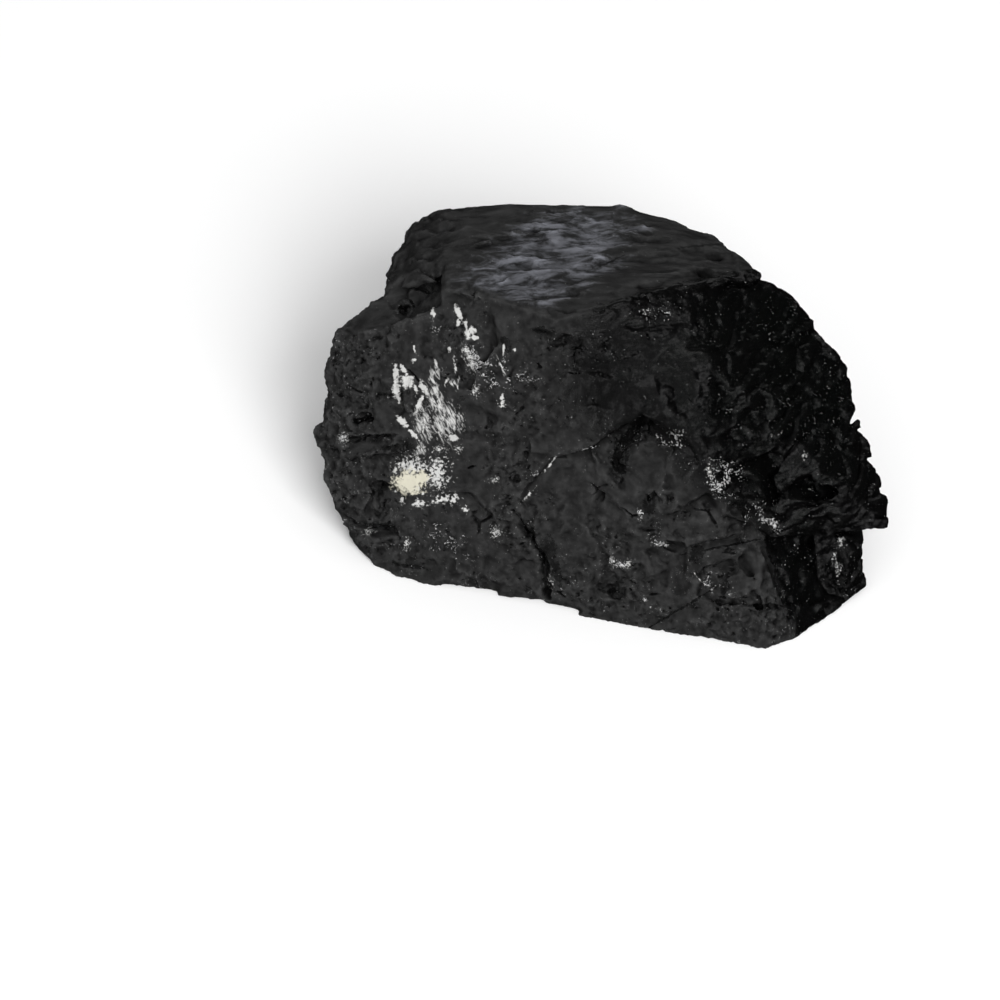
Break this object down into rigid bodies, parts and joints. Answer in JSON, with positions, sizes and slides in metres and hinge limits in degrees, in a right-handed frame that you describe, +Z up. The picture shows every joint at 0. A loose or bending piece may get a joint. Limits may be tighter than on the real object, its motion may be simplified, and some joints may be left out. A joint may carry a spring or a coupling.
{
  "type": "black tourmaline cluster",
  "caption": "Palm-sized rough lump of massive, intergrown black tourmaline with a ridged slate-grey top and pale mineral spots, resting on a flat underside.",
  "frame": {"origin": "centre of the bounding box's underside, on the plane that the stone rests on", "axes": "+Z up from the flat underside, +X along the stone's length towards the jutting slab, -Y towards the broad leaning front"},
  "size_m": [0.0904, 0.06, 0.0425],
  "materials": {
    "tourmaline": "satin to vitreous black fracture faces, a dull slate-grey ridged top, white and cream mineral spots at the left"
  },
  "bodies": {
    "root": {"tourmaline_lump": "tourmaline"}
  },
  "joints": []
}
